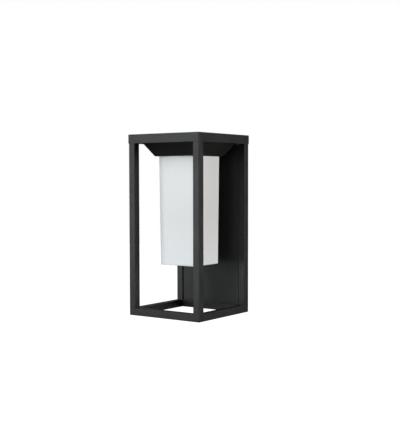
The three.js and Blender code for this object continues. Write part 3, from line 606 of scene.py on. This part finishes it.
low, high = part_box("holder_dome")
holder_radius, rim, top = high.x, low.z, high.z
dome_inner = holder_radius - 0.0022
dome = turned("lampholder_dome", [
    (dome_inner, rim), (holder_radius, rim), (holder_radius, rim + 0.005),
    (holder_radius - 0.0004, rim + 0.0075), (holder_radius - 0.0016, rim + 0.0095),
    (nipple_radius + 0.0095, top - 0.0045), (nipple_radius + 0.0068, top - 0.0022),
    (nipple_radius + 0.004, top), (nipple_radius + 0.0002, top),
    (nipple_radius + 0.0002, top - 0.004), (nipple_radius + 0.005, top - 0.0048),
    (dome_inner - 0.001, rim + 0.0078), (dome_inner, rim + 0.005), (dome_inner, rim)], sides=64)
soften(dome, 0.0003, segments=2)
on_axis(dome, "lantern", "black_plastic", black_plastic, "holder_dome")

low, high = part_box("holder_skirt")
mouth, neck_top = low.z, high.z
shell_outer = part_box("holder_thread_shell")[1].x
skirt_inner = shell_outer + 0.0009
neck = dome_inner - 0.0005
flutes, flute_depth = 28, 0.0005
skirt = turned("lampholder_skirt", [
    (skirt_inner, mouth), (holder_radius - 0.0022, mouth), (holder_radius - 0.001, mouth + 0.003),
    *wall(holder_radius - 0.0004, mouth + 0.005, rim - 0.005, 0.002),
    (holder_radius, rim - 0.003), (holder_radius, rim - 0.0003), (neck, rim - 0.0003),
    (neck, neck_top), (skirt_inner, neck_top), (skirt_inner, mouth)], sides=flutes * 6)
for vert in skirt.data.vertices:
    radius = math.hypot(vert.co.x, vert.co.y)
    if mouth + 0.0045 < vert.co.z < rim - 0.0045 and radius > neck + 0.001:
        turn = flutes * math.atan2(vert.co.y, vert.co.x)
        vert.co.xy *= 1 - flute_depth * (1 - math.cos(turn)) / 2 / radius
on_axis(skirt, "lantern", "black_plastic", black_plastic, "holder_skirt", angle=40)

low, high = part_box("holder_core")
core = turned("porcelain_core", [
    (0, low.z + 0.0012), (0.0072, low.z + 0.0012), (0.0078, low.z), (high.x - 0.0006, low.z),
    (high.x, low.z + 0.0006), (high.x, high.z - 0.0008), (high.x - 0.0008, high.z), (0, high.z)])
for x in (-nipple_bore / 2, nipple_bore / 2):
    carve(core, rod("entry", 0.0014, (x, 0, high.z - 0.004), (x, 0, high.z + 0.001), sides=24))
on_axis(core, "lantern", "porcelain", porcelain, "holder_core")

lamp_feed = 0.00057757  # metres down for each radian of turn
lamp_pitch = math.tau * lamp_feed
low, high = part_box("holder_thread_shell")
shell_wall, shell_step = 0.0005, lamp_pitch / 10
shell = turned("thread_shell", [
    *wall(shell_outer, low.z, high.z, shell_step),
    *wall(shell_outer - shell_wall, high.z, low.z, shell_step), (shell_outer, low.z)])
press_thread(shell, low.z + 0.001, high.z - 0.001, lamp_pitch, 0.0005)
on_axis(shell, "lantern", "brass", brass, "holder_thread_shell", angle=60)
fit(refined("centre_contact", "holder_contact", 0.0001), "lantern", "brass", brass,
    "holder_contact")


# ---- Lamp ----
# A screw lamp: a solder contact, a black glass insulator, a rolled nickel cap, a white driver
# housing and an opal globe. It unscrews as one, and only the contact's travel is apart.

white_plastic = surface("white_plastic", (0.8, 0.8, 0.78), 0.35, grain=0.0003, depth=0.000008,
                        patch=0.01, tone=0.02)
lamp_opal = surface("lamp_opal", (0.84, 0.84, 0.82), 0.25, grain=0.0008, depth=0.000004,
                    patch=0.01, tone=0.01)

low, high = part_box("lamp_contact")
contact = turned("solder_contact", [
    (0, low.z), (high.x, low.z), (high.x, low.z + 0.0005), (high.x - 0.0006, low.z + 0.0008),
    (high.x - 0.002, high.z - 0.0001), (0, high.z)], sides=32)
on_axis(contact, "lamp_contact", "zinc_steel", zinc, "lamp_contact", angle=60)

low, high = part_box("lamp_insulator")
insulator = turned("glass_insulator", [
    (0, low.z), (high.x, low.z), (high.x, low.z + 0.0004), (high.x - 0.002, low.z + 0.0017),
    (0.0056, high.z - 0.0004), (0.005, high.z), (0, high.z)])
on_axis(insulator, "lamp", "black_plastic", black_plastic, "lamp_insulator", angle=40)

low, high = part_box("lamp_cap")
cap_radius, cap_wall, shoulder = high.x, 0.0008, 0.0012
lamp_cap = turned("threaded_cap", [
    *wall(cap_radius, low.z, high.z - shoulder, shell_step), (cap_radius - 0.0004, high.z - 0.0005),
    (cap_radius - 0.001, high.z), (cap_radius - 0.001 - cap_wall, high.z),
    *wall(cap_radius - cap_wall, high.z - 0.002, low.z, shell_step), (cap_radius, low.z)])
press_thread(lamp_cap, low.z + 0.0025, high.z - 0.0008, lamp_pitch, 0.0008)
on_axis(lamp_cap, "lamp", "stainless_steel", stainless, "lamp_cap", angle=60)

low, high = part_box("lamp_housing")
wide, collar_radius, lamp_wall = high.x, cap_radius + 0.0016, 0.0012
waist = high.z - 0.003
outside, inside = [], []
for i in range(13):
    share = i / 12
    radius = collar_radius + (wide - collar_radius) * (1 - share) ** 1.4
    outside.append((radius, low.z + (waist - low.z) * share))
    inside.insert(0, (radius - lamp_wall, low.z + (waist - 0.0006 - low.z) * share))
housing = turned("driver_housing", [
    *outside, (cap_radius + 0.0011, high.z - 0.0008), (cap_radius + 0.0006, high.z),
    (cap_radius - 0.0012, high.z), *inside, outside[0]], sides=64)
on_axis(housing, "lamp", "white_plastic", white_plastic, "lamp_housing", angle=40)

low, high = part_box("lamp_globe")
globe_radius = high.x
globe_middle = low.z + globe_radius
lip = math.asin((high.z - globe_middle) / globe_radius)
angles = [-math.pi / 2 + (lip + math.pi / 2) * i / 24 for i in range(25)]
outer = [(globe_radius * math.cos(angle), globe_middle + globe_radius * math.sin(angle))
         for angle in angles]
inner = [((globe_radius - lamp_wall) * math.cos(angle),
          globe_middle + (globe_radius - lamp_wall) * math.sin(angle)) for angle in angles]
outer[0], inner[0] = (0, outer[0][1]), (0, inner[0][1])
globe = turned("opal_globe", [*outer, *inner[::-1]], sides=64)
on_axis(globe, "lamp", "lamp_opal", lamp_opal, "lamp_globe", angle=40)


# ---- Diffuser ----
# An opal acrylic box, moulded with a slight draft, closed below and open above. It hangs in the
# hopper's mouth, held by two springs, and draws down to reach the lamp.

opal = surface("opal_acrylic", (0.95, 0.965, 0.975), 0.38, grain=0.0012, depth=0.00001,
               patch=0.012, tone=0.012, gloss=0.05, stretch=(1, 1, 0.12))
diffuser_low, diffuser_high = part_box("diffuser")

# Painted light and shade: the box is painted whitest and coolest at its closed end, as bounce light
# from below, and greyer higher up, as shade under the hopper.
shader = opal.node_tree.nodes["Principled BSDF"]
tint = shader.inputs["Base Color"].links[0].from_socket
place = add(opal, "SeparateXYZ", {"Vector": add(opal, "TexCoord").outputs["Object"]})
rise = add(opal, "MapRange", {"Value": place.outputs["Z"], "From Min": diffuser_low.z,
                              "From Max": diffuser_high.z})
painted_bounce_and_shade = add(opal, "ValToRGB", {"Fac": rise.outputs["Result"]})
painted_bounce_and_shade.color_ramp.elements[0].color = (1, 1, 1, 1)
painted_bounce_and_shade.color_ramp.elements[1].color = (0.95, 0.93, 0.915, 1)
painted_bounce_and_shade.color_ramp.elements.new(0.42).color = (0.9, 0.895, 0.885, 1)
shaded = add(opal, "Mix", data_type="RGBA", blend_type="MULTIPLY",
             sockets={"Factor": 1.0, "A": tint, "B": painted_bounce_and_shade.outputs["Color"]})
opal.node_tree.links.new(shaded.outputs["Result"], shader.inputs["Base Color"])

draft = math.tan(math.radians(0.48))
diffuser_wall = 0.0024
top_half = diffuser_high.x
foot_half = top_half - (diffuser_high.z - diffuser_low.z) * draft
diffuser = block("opal_diffuser", diffuser_low, diffuser_high)
shape(diffuser, "verts", lambda vert: near(vert.co.z, diffuser_low.z))
share = foot_half / top_half
bpy.ops.transform.resize(value=(share, share, 1), center_override=(0, middle_y, diffuser_low.z))
shape(diffuser, "edges", lambda edge: not near(edge.verts[0].co.z, edge.verts[1].co.z))
bpy.ops.mesh.bevel(offset=0.0012, segments=5)
shape(diffuser, "edges", lambda edge: all_at(edge, 2, diffuser_low.z))
bpy.ops.mesh.bevel(offset=0.001, segments=5)
shape(diffuser, "faces", lambda face: face.normal.z > 0.5)
bpy.ops.mesh.delete(type="FACE")
finished()
apply(diffuser, "SOLIDIFY", thickness=diffuser_wall, offset=-1, use_even_offset=True)
soften(diffuser, 0.0003, segments=3, angle=60)
smooth(diffuser)
fit(diffuser, "diffuser", "opal_diffuser", opal, "diffuser")


# ---- Wall bracket ----
# Zinc-plated plate that stays on the wall, folded forwards at its top and bottom. The lantern hangs
# on the upper lip, and two lock screws come up through the rear rail into the lower one.

bracket_sheet = 0.0015
low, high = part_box("wall_bracket")
bracket = block("bracket_plate", low, high)
shape(bracket, "faces", lambda face: face.normal.y < -0.5 or abs(face.normal.x) > 0.5)
bpy.ops.mesh.delete(type="FACE")
shape(bracket, "edges", lambda edge: along(edge, 0) and all_at(edge, 1, high.y))
bpy.ops.mesh.bevel(offset=0.0025, segments=5)
finished()
apply(bracket, "SOLIDIFY", thickness=bracket_sheet, offset=-1, use_even_offset=True)

slot_radius, slot_half, slot_rise, slot_side = 0.0025, 0.0035, 0.1, 0.03
cable_radius, cable_z = 0.008, (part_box("cable_membrane")[0].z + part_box("cable_membrane")[1].z) / 2
for x, z in ((0, slot_rise), (0, -slot_rise), (-slot_side, 0), (slot_side, 0)):
    cutter = rod("slot", slot_radius, (x, -0.003, z), (x, past, z), sides=32)
    for vert in cutter.data.vertices:
        if not near(vert.co.x, x):
            vert.co.x += math.copysign(slot_half, vert.co.x - x)
    carve(bracket, cutter)
carve(bracket, rod("hole", cable_radius, (0, -0.003, cable_z), (0, past, cable_z), sides=64))
for x in (-lock_x, lock_x):
    carve(bracket, rod("hole", lock_hole, (x, lock_y, low.z - past), (x, lock_y, low.z + 0.003)))
lead_notch = 0.0076
carve(bracket, block("notch", (-lead_notch, low.y - past, high.z - 0.0025),
                     (lead_notch, -bracket_sheet, high.z + past)))
soften(bracket, 0.00015, segments=2, angle=50)
smooth(bracket)
fit(bracket, "lantern", "zinc_steel", zinc, "wall_bracket")

lock_head, lock_shank, lock_socket = 0.004, 0.002, 0.0014
for side, x in (("left", -lock_x), ("right", lock_x)):
    low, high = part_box(f"lock_screw_{side}")
    screw = countersunk_screw(f"{side}_lock_screw", lock_head, lock_shank, high.z - low.z,
                              lock_socket)
    stand(screw, (x, lock_y, low.z + head_sunk), upside_down)
    fit(screw, "lantern", "stainless_steel", stainless, f"lock_screw_{side}")

# The membrane seals the supply cable where it comes through the plate.
black_rubber = surface("black_rubber", (0.014, 0.014, 0.014), 0.75, grain=0.0004,
                       depth=0.00002, patch=0.008, tone=0.2)
membrane = turned("cable_seal", [
    (0.0015, 0.0006), (0.0035, 0.0003), (0.0055, 0.0001), (cable_radius - 0.0002, 0),
    (cable_radius - 0.0002, bracket_sheet + 0.0001), (cable_radius + 0.002, bracket_sheet + 0.0001),
    (cable_radius + 0.0017, bracket_sheet + 0.0013), (cable_radius + 0.0012, bracket_sheet + 0.0016),
    (cable_radius - 0.0014, bracket_sheet + 0.0016), (0.0052, 0.0023), (0.005, 0.0018),
    (0.0036, 0.0019), (0.0034, 0.0014), (0.0015, 0.0014), (0.0015, 0.0006)])
stand(membrane, (0, 0, cable_z), Matrix.Rotation(math.pi / 2, 4, "X"))
smooth(membrane)
fit(membrane, "lantern", "black_rubber", black_rubber, "cable_membrane")


# ---- Terminal block and leads ----
# A white three-way block on the plate. Brown, blue and earth leads run up from it, forward through
# a grommet in the rear rail, and down the nipple, with the earth lead on a tag on the tray.

low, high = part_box("terminal_block")
fit(refined("three_way_block", "terminal_block", 0.0003, angle=50), "lantern", "white_plastic",
    white_plastic, "terminal_block")
block_z = (low.z + high.z) / 2
for column, x in enumerate((-0.009, 0, 0.009)):
    for row, z in enumerate((block_z - 0.004, block_z + 0.004)):
        head = rod(f"terminal_screw_{column + 1}_{row + 1}", 0.0014, (x, low.y + 0.0017, z),
                   (x, low.y + 0.0006, z), sides=32)
        carve(head, block("slot", (x - 0.002, low.y, z - 0.00025),
                          (x + 0.002, low.y + 0.0011, z + 0.00025)))
        smooth(head)
        fit(head, "lantern", "brass", brass)

for name, slot, colour in (("live", "brown_lead", (0.09, 0.035, 0.012)),
                           ("neutral", "blue_lead", (0.02, 0.09, 0.36)),
                           ("earth", "earth_lead", (0.1, 0.26, 0.03))):
    sheath = surface(slot, colour, 0.45, grain=0.0005, depth=0.000008, patch=0.01, tone=0.1)
    wire = refined(f"{name}_wire", f"lead_{name}", 0.00001, segments=1, angle=89)
    apply(wire, "SUBSURF", levels=1, render_levels=1)
    smooth(wire, 60)
    fit(wire, "lantern", slot, sheath, f"lead_{name}")

grommet = turned("lead_grommet", [
    (0.0031, -0.0012), (0.005, -0.0012), (0.0054, -0.0008), (0.0054, 0), (0.0036, 0),
    (0.0036, 0.0013), (0.0046, 0.0013), (0.0041, 0.0025), (0.0031, 0.0025), (0.0031, -0.0012)])
stand(grommet, (0, -tube - 0.00005, lead_z), Matrix.Rotation(-math.pi / 2, 4, "X"))
smooth(grommet)
fit(grommet, "lantern", "black_rubber", black_rubber, "rail_grommet")

fit(refined("ring_tag", "earth_tag", 0.0001), "lantern", "brass", brass, "earth_tag")
low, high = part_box("earth_screw")
under = high.z - pan_height
earth_screw = pan_screw("tag_screw", small_head, small_shank, pan_height, under - low.z)
stand(earth_screw, ((low.x + high.x) / 2, (low.y + high.y) / 2, under))
fit(earth_screw, "lantern", "brass", brass, "earth_screw")


# ---- Back panel ----
# Sheet steel with a flange folded back along each side, sprung in between the rear posts to hide
# the bracket and the wiring. It has a smooth satin coat.

satin_coat = surface("satin_black_coat", (0.0128, 0.013, 0.0125), 0.5, grain=0.0015,
                     depth=0.00001, patch=0.02, tone=0.15, gloss=0.03, specular=0.35)
panel_low, panel_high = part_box("back_panel")
panel = block("rear_panel", panel_low, panel_high)
shape(panel, "faces", lambda face: face.normal.y > 0.5 or abs(face.normal.z) > 0.5)
bpy.ops.mesh.delete(type="FACE")
shape(panel, "edges", lambda edge: along(edge, 2) and all_at(edge, 1, panel_low.y))
bpy.ops.mesh.bevel(offset=0.0014, segments=4)
finished()
apply(panel, "SOLIDIFY", thickness=0.001, offset=-1, use_even_offset=True)
soften(panel, 0.00012, segments=2, angle=60)
smooth(panel)
fit(panel, "lantern", "satin_black_coat", satin_coat, "back_panel")


# ---- Studio ----
# A pale floor, and dim surroundings that the camera sees as white. Soft lights stand in front, to
# the left, at three heights, with one at the right and one high behind.

floor_drop = 0.45
bpy.ops.object.select_all(action="DESELECT")
bpy.ops.mesh.primitive_plane_add(size=12, location=(0, 0, cad_box[0][2] - floor_drop))
floor = bpy.context.object
floor.name = "floor"
pale = surface("pale_floor", (0.9, 0.9, 0.9), 0.8, grain=0.002, depth=0.0001, patch=0.3,
               tone=0.01)
pale.node_tree.nodes["Principled BSDF"].inputs["Emission Color"].default_value = (1, 1, 1, 1)
pale.node_tree.nodes["Principled BSDF"].inputs["Emission Strength"].default_value = 0.9
floor.data.materials.append(pale)
floor.visible_diffuse = False
floor.visible_glossy = False

world = bpy.data.worlds.new("studio")
bpy.context.scene.world = world
world.use_nodes = True
tree = world.node_tree
background = tree.nodes["Background"]
direction = tree.nodes.new("ShaderNodeTexCoord").outputs["Generated"]
height = tree.nodes.new("ShaderNodeSeparateXYZ")
tree.links.new(direction, height.inputs["Vector"])
lift = tree.nodes.new("ShaderNodeMapRange")
lift.inputs["From Min"].default_value = -1
tree.links.new(height.outputs["Z"], lift.inputs["Value"])
walls = tree.nodes.new("ShaderNodeValToRGB")
tree.links.new(lift.outputs["Result"], walls.inputs["Fac"])
ramp = walls.color_ramp.elements
ramp[0].position, ramp[0].color = 0.0, (0.12, 0.12, 0.12, 1)
ramp[1].position, ramp[1].color = 1.0, (0.3, 0.3, 0.3, 1)
for position, level in ((0.45, 0.06), (0.55, 0.05)):
    stop = walls.color_ramp.elements.new(position)
    stop.color = (level, level, level, 1)
path = tree.nodes.new("ShaderNodeLightPath")
seen = tree.nodes.new("ShaderNodeMix")
seen.data_type = "RGBA"
tree.links.new(path.outputs["Is Camera Ray"], seen.inputs["Factor"])
tree.links.new(walls.outputs["Color"], seen.inputs["A"])
seen.inputs["B"].default_value = (1, 1, 1, 1)
tree.links.new(seen.outputs["Result"], background.inputs["Color"])


def soft_light(name, azimuth, elevation, distance, size, power, colour):
    """A square light aimed at the lantern's middle. Azimuth 0 is in front and 90 to the right."""
    turn, lift = math.radians(azimuth), math.radians(elevation)
    away = Vector((math.sin(turn) * math.cos(lift), -math.cos(turn) * math.cos(lift),
                   math.sin(lift)))
    bpy.ops.object.light_add(type="AREA", location=Vector((0, middle_y, 0)) + away * distance,
                             rotation=away.to_track_quat("Z", "Y").to_euler())
    light = bpy.context.object
    light.name = name
    light.data.energy, light.data.size, light.data.color = power, size, colour


soft_light("key_light", -34, 1, 1.8, 0.65, 8.2, (0.97, 1.0, 1.0))
soft_light("top_light", -25, 35, 1.8, 1.0, 17.5, (0.98, 1.0, 1.0))
soft_light("low_light", -10, -20, 1.8, 0.8, 4.5, (0.8, 0.9, 1.0))
soft_light("side_light", 110, 0, 1.8, 0.8, 20.5, (1.0, 0.99, 0.97))
soft_light("rear_light", 190, 30, 2.2, 1.4, 16, (1.0, 1.0, 1.0))
bpy.context.scene.view_settings.view_transform = "Standard"


# ---- Camera ----
# It stands a metre and a half away at the front right, a little above the lantern's middle.

bpy.ops.object.camera_add(
    location=(0.8522, -1.22608, 0.07136),
    rotation=[math.radians(angle) for angle in (87.225, 0.10, 35.69)])
camera = bpy.context.object
camera.data.lens = 71.35
camera.data.sensor_width = 36
camera.data.clip_start = 0.05
bpy.context.scene.camera = camera
